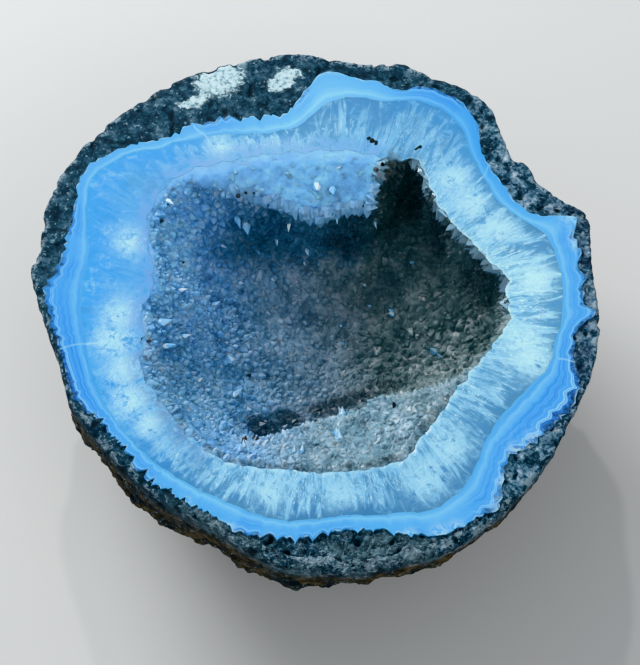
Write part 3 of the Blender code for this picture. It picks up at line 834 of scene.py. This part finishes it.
# The bright crystals that stand out of the druse, their whitest facets painted glints: (angle, station,
# radius, length, lean towards the axis)
BRIGHT_CRYSTALS = (
    (180, 0.09, 0.8, 3.0, 0.9), (188, 0.12, 0.7, 2.6, 1.2), (140, 0.04, 0.7, 2.0, 0.9),
    (122, 0.26, 0.7, 2.8, 1.1), (120, 0.3, 1.0, 3.0, 0.9), (92, 0.14, 1.0, 3.0, 0.6),
    (86, 0.15, 0.7, 3.0, 0.7), (186, 0.52, 1.0, 2.6, -0.6), (210, 0.48, 0.6, 3.0, 0.9),
    (4, 0.55, 0.8, 2.4, 0.2), (290, 0.71, 0.6, 2.2, 0.4), (278, 0.21, 0.8, 2.0, 0.3),
    (277, 0.24, 0.6, 1.8, 0.0), (36, 0.64, 0.6, 2.0, 0.2), (262, 0.12, 0.5, 1.9, 0.3),
    (259, 0.11, 0.4, 1.8, 0.1), (240, 0.13, 0.5, 1.8, 0.2), (66, 0.62, 0.5, 2.0, 0.2),
    (48, 0.45, 0.4, 2.0, 0.3), (158, 0.4, 0.5, 2.2, 0.3), (98, 0.49, 0.55, 2.0, 0.5),
    (120, 0.46, 0.35, 1.9, 0.6), (136, 0.52, 0.45, 1.9, 0.6), (120, 0.58, 0.4, 1.9, 0.5),
    (68, 0.81, 0.35, 1.9, 0.4), (38, 0.63, 0.45, 2.0, 0.2), (164, 0.16, 0.5, 1.9, 0.8),
    (132, 0.37, 0.45, 2.1, 0.9), (104, 0.3, 0.45, 2.2, 1.0), (84, 0.25, 0.45, 2.4, 1.2),
    (70, 0.29, 0.4, 2.2, 1.0), (100, 0.55, 0.35, 1.9, 0.6), (92, 0.57, 0.35, 1.9, 0.6),
    (52, 0.69, 0.35, 1.9, 0.3), (48, 0.87, 0.35, 1.9, 0.3), (200, 0.32, 0.45, 1.9, 0.1),
    (284, 0.38, 0.6, 2.0, 0.2), (278, 0.23, 0.6, 2.0, 0.0), (240, 0.09, 0.5, 1.9, 0.1),
    (0, 0.53, 0.5, 2.0, 0.1), (182, 0.23, 0.6, 2.2, 0.9), (110, 0.42, 0.4, 2.1, 0.8),
)


# Dark specks standing in for the shade in the crust's tiny holes, placed in the same way
HOLE_SHADE_SPECKS = (
    (140, 0.04, 0.62, 1.7, 0.2), (146, 0.05, 0.4, 1.6, 0.2), (120, 0.14, 0.5, 1.9, 0.3),
    (117.5, 0.135, 0.42, 1.9, 0.3), (115, 0.145, 0.35, 1.9, 0.3), (72, 0.05, 0.7, 1.7, 0.5),
    (66, 0.03, 0.5, 1.5, 0.5), (188, 0.02, 0.35, 1.2, 0.2), (152, 0.2, 0.3, 1.9, 0.2),
    (196, 0.62, 0.4, 2.0, 0.1), (310, 0.25, 0.4, 1.8, 0.2), (241, 0.24, 0.6, 1.8, 0.2),
    (238, 0.2, 0.6, 1.8, 0.2), (239, 0.16, 0.5, 1.7, 0.2), (243, 0.2, 0.4, 1.8, 0.2),
)


def standing_crystals(rows, rng, raised, foot_share):
    angle, station, radii, lengths, lean = np.array(rows).T
    outward = ray_of(angle) / RAY_LENGTH
    feet, normals = wall_frames(outward[:, :2] * (1 - station)[:, None])
    axes = unit(normals - outward * lean[:, None])
    return crystal_mesh(feet + normals * raised, axes, radii, lengths, rng, foot_share)


def make_bright_crystals(material):
    rng = np.random.default_rng(41)
    mesh = standing_crystals(BRIGHT_CRYSTALS, rng, 0.9, 0.25)
    make_crystals("bright_crystals", material, mesh, facet=rng.uniform(0, 1, len(mesh[1])))


def make_hole_shade_specks(material):
    """Dark specks in the crust, painted as the shade of its tiny holes; those in the crevice at the front
    left are rusty.
    """
    mesh = standing_crystals(HOLE_SHADE_SPECKS, np.random.default_rng(43), 0.4, 0.6)
    rusty = np.array([230.0 < row[0] < 250.0 for row in HOLE_SHADE_SPECKS])
    make_crystals("hole_shade_specks", material, mesh, rust=rusty.astype(float))


class Look:
    """A material being put together: each method adds a node and gives back its output.

    A value can be a number, an output or the name of a field on the mesh.
    """

    def __init__(self, name):
        self.material = bpy.data.materials.new(name)
        self.material.use_nodes = True
        self.tree = self.material.node_tree
        self.shader = self.tree.nodes["Principled BSDF"]

    def add(self, kind, sockets=(), **settings):
        made = self.tree.nodes.new("ShaderNode" + kind)
        for key, value in settings.items():
            setattr(made, key, value)
        for key, value in dict(sockets).items():
            self.feed(made.inputs[key], value)
        return made

    def feed(self, socket, value):
        if isinstance(value, str):
            value = self.field(value)
        if isinstance(value, bpy.types.NodeSocket):
            self.tree.links.new(value, socket)
        else:
            socket.default_value = value

    def set(self, **sockets):
        for key, value in sockets.items():
            self.feed(self.shader.inputs[key.replace("_", " ")], value)

    def field(self, name, output="Fac"):
        return self.add("Attribute", attribute_name=name).outputs[output]

    def place(self):
        return self.add("TexCoord").outputs["Object"]

    def axis(self, vector, name):
        return self.add("SeparateXYZ", {0: vector}).outputs[name]

    def join(self, x, y, z):
        return self.add("CombineXYZ", {0: x, 1: y, 2: z}).outputs[0]

    def scaled(self, vector, factors):
        return self.add("VectorMath", {0: vector, 1: factors}, operation="MULTIPLY").outputs[0]

    def shifted(self, vector, other, amount):
        """A vector plus another times an amount."""
        sockets = {0: other, 1: (amount, amount, amount), 2: vector}
        return self.add("VectorMath", sockets, operation="MULTIPLY_ADD").outputs[0]

    def noise(self, vector, scale, detail=2.0, roughness=0.5, distortion=0.0, output="Fac"):
        names = ("Vector", "Scale", "Detail", "Roughness", "Distortion")
        values = (vector, scale, detail, roughness, distortion)
        return self.add("TexNoise", zip(names, values)).outputs[output]

    def chips(self, vector, scale):
        """Angular cells, each with a level of its own."""
        made = self.add("TexVoronoi", {"Vector": vector, "Scale": scale})
        return self.axis(made.outputs["Color"], "X")

    def cracks(self, vector, scale):
        """The distance to the nearest side between rounded lumps."""
        sockets = {"Vector": vector, "Scale": scale}
        return self.add("TexVoronoi", sockets, feature="DISTANCE_TO_EDGE").outputs["Distance"]

    def veins(self, noise, width):
        """1 along the lines where a noise is at its middle, and 0 past a width on either side."""
        return self.step(self.math("ABSOLUTE", self.math("SUBTRACT", noise, 0.5)), width, 0.0)

    def times(self, *values):
        """The product of values, where a tuple stands for the step that it describes."""
        product = 1.0
        for value in values:
            value = self.step(*value) if isinstance(value, tuple) else value
            product = value if product == 1.0 else self.math("MULTIPLY", product, value)
        return product

    def weighed(self, offset, *terms):
        """An offset plus values, each times its weight."""
        for value, weight in terms:
            offset = self.math("MULTIPLY_ADD", value, weight, offset)
        return offset

    def math(self, operation, a, b=0.0, c=0.0):
        return self.add("Math", {0: a, 1: b, 2: c}, operation=operation).outputs[0]

    def step(self, value, low, high, to_low=0.0, to_high=1.0):
        sockets = {"Value": value, "From Min": low, "From Max": high, "To Min": to_low, "To Max": to_high}
        return self.add("MapRange", sockets, interpolation_type="SMOOTHSTEP").outputs[0]

    def ramp(self, value, *stops):
        made = self.add("ValToRGB", {"Fac": value})
        ends = made.color_ramp.elements
        while len(ends) < len(stops):
            ends.new(0.5)
        for element, (position, colour) in zip(ends, stops):
            element.position = position
            element.color = (*colour, 1.0)
        return made.outputs["Color"]

    def mix(self, share, a, b, blend="MIX"):
        made = self.add("Mix", data_type="RGBA", blend_type=blend)
        self.feed(made.inputs["Factor"], share)
        for socket, value in ((made.inputs[6], a), (made.inputs[7], b)):
            self.feed(socket, (*value, 1.0) if isinstance(value, tuple) else value)
        return made.outputs[2]

    def coated(self, base, *coats):
        """A colour under coats: each is a colour and the values whose product is its share."""
        for colour, *shares in coats:
            base = self.mix(self.times(*shares), base, colour)
        return base

    def toned(self, colour, name, amounts):
        """A colour made lighter where a field is above 0 and darker where it is below, channel by channel."""
        shades = [self.weighed(1.0, (name, amount)) for amount in amounts]
        return self.scaled(colour, self.join(*shades))

    def bump(self, height, distance, strength):
        sockets = {"Height": height, "Distance": distance * MM, "Strength": strength}
        self.feed(self.shader.inputs["Normal"], self.add("Bump", sockets).outputs[0])


def rock_look():
    """Dark basalt: chips of slate and black, pale specks, white calcite, a chipped edge paler along its rim,
    and painted shade in its pits and in the cracks between the lumps at the front.
    """
    look = Look("rock")
    place = look.place()
    patches = look.noise(place, 0.28 * PER_MM, 3, 0.6)
    mottle = look.noise(place, 0.85 * PER_MM, 4, 0.65, 0.6)
    broad = look.noise(place, 0.13 * PER_MM)
    warp = look.noise(place, 0.9 * PER_MM, output="Color")
    warped = look.shifted(place, warp, 1.6 * MM)
    chips = look.chips(warped, 0.8 * PER_MM)
    grains = look.chips(warped, 2.6 * PER_MM)
    lumps = look.cracks(look.shifted(warped, warp, 2.0 * MM), 0.3 * PER_MM)
    level = look.weighed(-0.42, (mottle, 0.75), (patches, 0.8), (grains, 0.12), (chips, 0.16))
    slate = look.ramp(
        level, (0.3, (0.004, 0.016, 0.03)), (0.42, (0.009, 0.036, 0.06)), (0.52, (0.026, 0.074, 0.114)),
        (0.62, (0.055, 0.122, 0.168)), (0.76, (0.15, 0.235, 0.29)),
    )
    brown = look.ramp(
        level, (0.28, (0.006, 0.005, 0.003)), (0.44, (0.042, 0.032, 0.018)), (0.58, (0.1, 0.082, 0.048)),
        (0.76, (0.18, 0.16, 0.115)),
    )
    chalk = look.ramp(
        look.noise(place, 0.9 * PER_MM, 4, 0.7),
        (0.35, (0.11, 0.21, 0.26)), (0.46, (0.42, 0.6, 0.65)), (0.6, (0.68, 0.83, 0.85)),
    )
    x = look.axis(place, "X")
    sawn = look.math("SUBTRACT", 1.0, "side")
    front = look.times((look.axis(place, "Y"), -42 * MM, -52 * MM), sawn)
    pale = look.math("MAXIMUM", front, look.times((x, 24 * MM, 42 * MM), sawn))
    base = look.coated(slate, (brown, "side", (patches, 0.35, 0.6, 0.6, 1.0)))
    base = look.mix(look.times(pale, (level, 0.36, 0.54)), base, (3.4, 2.5, 2.3), "MULTIPLY")
    frayed = look.weighed(-0.82, (mottle, 1.7), ("calcite", 1.0))
    base = look.coated(
        base,
        ((0.075, 0.09, 0.15), (x, 44 * MM, 56 * MM), sawn, (mottle, 0.42, 0.56), 0.4),
        ((0.15, 0.24, 0.28), front, (broad, 0.42, 0.56), 0.85),
        ((0.012, 0.016, 0.02), front, (mottle, 0.47, 0.37), 0.85),
        # Painted shade in the cracks between the front lumps
        ((0.004, 0.006, 0.008), front, (lumps, 0.1, 0.02), 0.6),
        ((0.26, 0.38, 0.44), (grains, 0.965, 0.985, 0.0, 0.7)),
        # Painted shade in the pits
        ((0.002, 0.008, 0.014), "pit", 0.9),
        # Paler along the chipped edge, on the face and on the top of the side
        ((0.3, 0.4, 0.45), "rim", (level, 0.48, 0.62), 0.75),
        ((0.14, 0.24, 0.29), (frayed, 0.16, 0.44, 0.0, 0.45)),
        (chalk, (frayed, 0.4, 0.6)),
    )
    look.set(Base_Color=base, Roughness=look.step(mottle, 0.3, 0.7, 0.5, 0.85), Specular_IOR_Level=0.2)
    look.bump(look.weighed(mottle, (look.times((lumps, 0.0, 0.3), front), 1.0), (grains, 0.2)), 0.6, 0.9)
    return look.material


def agate_look():
    """Blue agate, polished: thin layers that follow the rock's edge, with paler lines between them."""
    look = Look("agate")
    ray = look.field("ray", "Vector")
    patchy = look.noise(look.place(), 0.9 * PER_MM, 4, 0.65, 0.8)
    level = look.weighed(-0.04, (look.noise(ray, 0.35, 3), 0.08), ("level", 1.0))
    strong = look.ramp(
        level, (0.0, (0.018, 0.065, 0.2)), (0.08, (0.035, 0.16, 0.46)), (0.16, (0.045, 0.23, 0.64)),
        (0.185, (0.36, 0.74, 0.97)), (0.205, (0.045, 0.24, 0.65)), (0.235, (0.36, 0.76, 0.98)),
        (0.27, (0.08, 0.4, 0.88)), (0.42, (0.075, 0.37, 0.85)), (0.46, (0.04, 0.25, 0.67)),
        (0.49, (0.085, 0.41, 0.89)), (0.57, (0.08, 0.39, 0.87)), (0.6, (0.045, 0.28, 0.72)),
        (0.64, (0.09, 0.43, 0.9)), (0.8, (0.175, 0.56, 0.96)), (0.9, (0.11, 0.46, 0.9)),
        (1.0, (0.115, 0.43, 0.83)),
    )
    faint = look.ramp(
        level, (0.0, (0.14, 0.45, 0.82)), (0.1, (0.1, 0.44, 0.88)), (0.5, (0.12, 0.49, 0.92)),
        (0.78, (0.22, 0.63, 0.97)), (0.9, (0.14, 0.51, 0.92)), (1.0, (0.14, 0.46, 0.84)),
    )
    zone = look.math("MAXIMUM", "streaky", look.step(look.noise(ray, 0.07), 0.5, 0.62, 0.0, 0.7))
    lively = look.weighed(0.3, (zone, 0.7))
    thin = look.noise(look.join(look.times(level, 15.0), look.noise(ray, 0.12), 0.0), 1.0, 3, 0.7)
    fringe = look.times((level, 0.17, 0.1), zone)
    base = look.coated(
        look.mix(zone, faint, strong),
        ((0.3, 0.68, 0.97), (thin, 0.54, 0.68), lively, 0.5),
        ((0.035, 0.21, 0.62), (thin, 0.46, 0.34), lively, 0.55),
        ((0.012, 0.03, 0.06), fringe, (patchy, 0.5, 0.58), 0.9),
        ((0.15, 0.33, 0.64), fringe, (patchy, 0.42, 0.36), 0.7),
        ((0.45, 0.8, 0.97), "crack", 0.7),
        ((0.42, 0.68, 0.86), ("inset", 0.5, 0.0), (look.noise(ray, 0.5), 0.5, 0.62), 0.6),
    )
    base = look.toned(base, "pale", (0.4, 0.2, 0.08))
    base = look.coated(base, ((0.42, 0.7, 0.88), "chalk", (patchy, 0.42, 0.52), 0.85))
    look.set(Base_Color=base, Roughness=0.16, Subsurface_Weight=0.25)
    finish_stone(look, patchy, 0.02)
    return look.material


def finish_stone(look, height, distance):
    """What the agate and the quartz share: a polished skin over slightly see-through stone."""
    look.set(Subsurface_Radius=(0.6, 1.0, 1.4), Subsurface_Scale=1.6 * MM, IOR=1.54)
    look.bump(height, distance, 0.5)


def quartz_look():
    """Pale quartz: clear and grey-blue by the agate, milky and feathered with fibres by the hollow."""
    look = Look("quartz")
    place = look.place()
    strand = look.field("strand", "Vector")

    def along_strands(factors, detail, roughness, distortion):
        return look.noise(look.scaled(strand, factors), 1.0, detail, roughness, distortion)
    mottle = look.noise(place, 0.45 * PER_MM, 5, 0.65, 0.5)
    curls = look.veins(look.noise(place, 0.42 * PER_MM, 3, 0.55, 1.6), 0.05)
    plumes = along_strands((0.22, 0.13, 0.0), 2, 0.55, 0.8)
    fibres = along_strands((0.5, 0.26, 0.0), 3, 0.55, 1.4)
    wisps = look.veins(along_strands((0.26, 0.13, 0.0), 2, 0.5, 2.6), 0.028)
    strokes = look.veins(along_strands((0.4, 0.2, 7.0), 2, 0.5, 3.2), 0.035)
    body = look.ramp(
        "across", (0.0, (0.095, 0.275, 0.47)), (0.3, (0.105, 0.3, 0.51)), (0.6, (0.14, 0.375, 0.6)),
        (1.0, (0.185, 0.46, 0.69)),
    )
    blue_body = look.ramp(
        "across", (0.0, (0.06, 0.39, 0.85)), (0.5, (0.058, 0.355, 0.77)), (0.85, (0.095, 0.385, 0.75)),
        (1.0, (0.14, 0.42, 0.76)),
    )
    wandering = look.weighed(-0.65, ("across", 1.0), (plumes, 1.3))
    plain = look.math("SUBTRACT", 1.0, "outlined")
    faded = look.step(look.times(plain, "across"), 0.5, 0.95, 1.0, 0.25)
    inner = look.times((wandering, 0.1, 0.45), look.weighed(1.0, ("blue", -0.85)), faded)
    # The druse's tint, its painted light and shade included, melts into the quartz's inner edge
    druse = look.scaled(look.field("tint", "Color"), (0.95, 0.78, 0.78))
    base = look.coated(
        look.mix("blue", body, blue_body),
        ((0.3, 0.66, 0.93), (mottle, 0.52, 0.66, 0.0, 0.45)),
        ((0.07, 0.27, 0.54), (mottle, 0.48, 0.34, 0.0, 0.5)),
        ((0.34, 0.69, 0.89), (plumes, 0.44, 0.58), inner, 0.75),
        ((0.11, 0.3, 0.46), (plumes, 0.44, 0.32), inner, 0.6),
        ((0.1, 0.29, 0.45), (fibres, 0.48, 0.36), inner, 0.6),
        ((0.44, 0.79, 0.94), (fibres, 0.54, 0.66), inner, 0.6),
        ((0.54, 0.87, 0.98), strokes, (plumes, 0.42, 0.52), inner, 0.55),
        ((0.7, 0.96, 1.0), wisps, (mottle, 0.38, 0.5), inner, 0.95),
        ((0.11, 0.32, 0.53), "clear", (mottle, 0.35, 0.6, 1.0, 0.6), 0.75),
        ((0.5, 0.86, 0.97), "cloud", (mottle, 0.34, 0.5), 0.9),
        ((0.6, 0.92, 1.0), "cloud", curls, 0.9),
        ((0.6, 0.92, 1.0), ("inward", 0.8, 0.1), (mottle, 0.36, 0.54), "outlined", 0.55),
        (druse, ("inward", 5.0, 0.0), (mottle, 0.4, 0.54), "melted", 0.9),
        ((0.55, 0.88, 1.0), "crack", 0.7),
        # Painted shade of tiny holes in the quartz
        ((0.006, 0.014, 0.014), ("black", 0.45, 0.6)),
    )
    base = look.toned(base, "pale", (0.24, 0.16, 0.09))
    look.set(Base_Color=base, Roughness=0.17, Subsurface_Weight=0.3)
    finish_stone(look, fibres, 0.03)
    return look.material


def crystal_look():
    """The druse: misty quartz points, tinted by where they stand (painted light and shade included), with
    cloudy patches, thin pale veins painted as lit facet edges, facets a little lighter or darker as painted
    light, and a few facets painted nearly white as glints.
    """
    look = Look("crystals")
    tint = look.field("tint", "Color")
    place = look.place()
    clouds = look.noise(place, 0.24 * PER_MM, 5, 0.66, 0.6)
    grain = look.noise(place, 1.0 * PER_MM, 3, 0.6, 0.4)
    # Painted highlight: thin pale veins standing in for the lit edges of the facets
    painted_edge_light = look.veins(look.noise(place, 0.5 * PER_MM, 3, 0.6, 1.2), 0.035)
    # The facet term is painted light: each facet a little lighter or darker, as light refracted in the quartz
    # makes it
    level = look.weighed(-0.42, ("shade", 0.11), (grain, 0.4), ("facet", 0.1), (clouds, 1.35), (painted_edge_light, 0.12))
    calm = look.times("misty", 0.5)
    level = look.math("MULTIPLY_ADD", calm, look.math("SUBTRACT", 0.55, level), level)
    shades = look.ramp(
        level, (0.34, (0.46, 0.5, 0.54)), (0.5, (0.9, 0.9, 0.92)), (0.62, (1.12, 1.1, 1.08)),
        (0.78, (1.45, 1.3, 1.2)),
    )
    paler = look.add("Gamma", {"Color": tint, "Gamma": 0.6}).outputs[0]
    base = look.coated(
        look.mix(1.0, tint, shades, "MULTIPLY"),
        (look.scaled(paler, (1.0, 0.9, 1.0)), (level, 0.54, 0.78, 0.0, 0.45)),
        # Painted glints: a few random facets nearly white
        ((0.7, 0.9, 0.98), ("facet", 0.9974, 0.9979, 0.0, 0.9)),
    )
    look.set(Base_Color=base, Roughness=0.32, IOR=1.54, Transmission_Weight=0.04, Specular_IOR_Level=0.3)
    look.set(Subsurface_Weight=0.75, Subsurface_Radius=(1.0, 1.0, 1.0), Subsurface_Scale=2.0 * MM)
    return look.material


def clear_crystal_look():
    """The larger points at the edges: clear quartz with a little mist in it, and painted light on its facets,
    each lighter or darker by its own value.
    """
    look = Look("clear_crystals")
    # Painted light: each facet lighter or darker, as light refracted through the quartz makes it
    mist = look.step("facet", 0.0, 1.0, 0.45, 1.3)
    base = look.scaled(look.field("tint", "Color"), look.join(mist, mist, mist))
    look.set(Base_Color=base, Roughness=0.12, IOR=1.54, Transmission_Weight=0.25)
    return look.material


def bright_crystal_look():
    """The few points that catch the light: some facets painted nearly white as glints, the others pale blue.
    """
    look = Look("bright_crystals")
    base = look.mix(look.step("facet", 0.55, 0.6), (0.26, 0.62, 0.95), (0.8, 0.96, 1.0))
    look.set(Base_Color=base, Roughness=0.1, IOR=1.54)
    return look.material


def hole_shade_look():
    look = Look("hole_shade_specks")
    # Painted shade of tiny holes: near black, rust-brown in the crevice at the front left
    look.set(Base_Color=look.mix("rust", (0.006, 0.01, 0.012), (0.034, 0.024, 0.021)), Roughness=0.5)
    return look.material


def make_pieces():
    rock = rock_look()
    crystals = crystal_look()
    make_rock_outside(rock)
    make_rock_face(rock)
    make_agate(agate_look())
    make_quartz(quartz_look())
    make_bed(crystals)
    make_druse(crystals)
    make_rim_crystals(clear_crystal_look())
    make_bright_crystals(bright_crystal_look())
    make_hole_shade_specks(hole_shade_look())


def make_floor():
    data = bpy.data.meshes.new("floor")
    corners = [(x * FLOOR_REACH, y * FLOOR_REACH, 0) for x, y in ((-1, -1), (1, -1), (1, 1), (-1, 1))]
    data.from_pydata(corners, [], [(0, 1, 2, 3)])
    floor = bpy.data.objects.new("floor", data)
    floor.location.z = -FLOOR_DROP
    bpy.context.scene.collection.objects.link(floor)
    look = Look("floor")
    look.set(Base_Color=(0.62, 0.61, 0.59, 1.0), Roughness=0.8)
    data.materials.append(look.material)


def make_lights():
    """A soft window at the back left, a weak fill in front, a small lamp for the glints and an even sky."""
    for name, place, size, energy, colour in (
        ("window", (-0.42, 0.55, 0.42), 0.42, 7.0, (0.95, 0.98, 1.0)),
        ("fill", (0.5, -0.5, 0.55), 0.6, 1.6, (1.0, 0.99, 0.97)),
        ("glints", (-0.1, 0.65, 0.75), 0.03, 1.2, (1.0, 1.0, 1.0)),
    ):
        data = bpy.data.lights.new(name, "AREA")
        data.size = size
        data.energy = energy
        data.color = colour
        light = bpy.data.objects.new(name, data)
        light.location = place
        aim = Vector((0, 0, HEIGHT * MM)) - light.location
        light.rotation_euler = aim.to_track_quat("-Z", "Y").to_euler()
        bpy.context.scene.collection.objects.link(light)
    world = bpy.data.worlds.new("studio")
    world.use_nodes = True
    sockets = world.node_tree.nodes["Background"].inputs
    sockets["Color"].default_value = (0.86, 0.92, 1.0, 1.0)
    sockets["Strength"].default_value = 0.55
    bpy.context.scene.world = world
    bpy.context.scene.view_settings.view_transform = "Khronos PBR Neutral"


def make_camera():
    data = bpy.data.cameras.new("camera")
    data.sensor_fit = "VERTICAL"
    data.sensor_height = SENSOR_HEIGHT
    data.lens = CAMERA_LENS
    camera = bpy.data.objects.new("camera", data)
    tilt = math.radians(CAMERA_ELEVATION)
    away = Vector((0, -math.cos(tilt), math.sin(tilt)))
    camera.location = (Vector(CAMERA_TARGET) + away * CAMERA_DISTANCE) * MM
    camera.rotation_euler = (math.pi / 2 - tilt, 0, 0)
    bpy.context.scene.collection.objects.link(camera)
    bpy.context.scene.camera = camera


make_camera()
make_lights()
make_floor()
make_pieces()
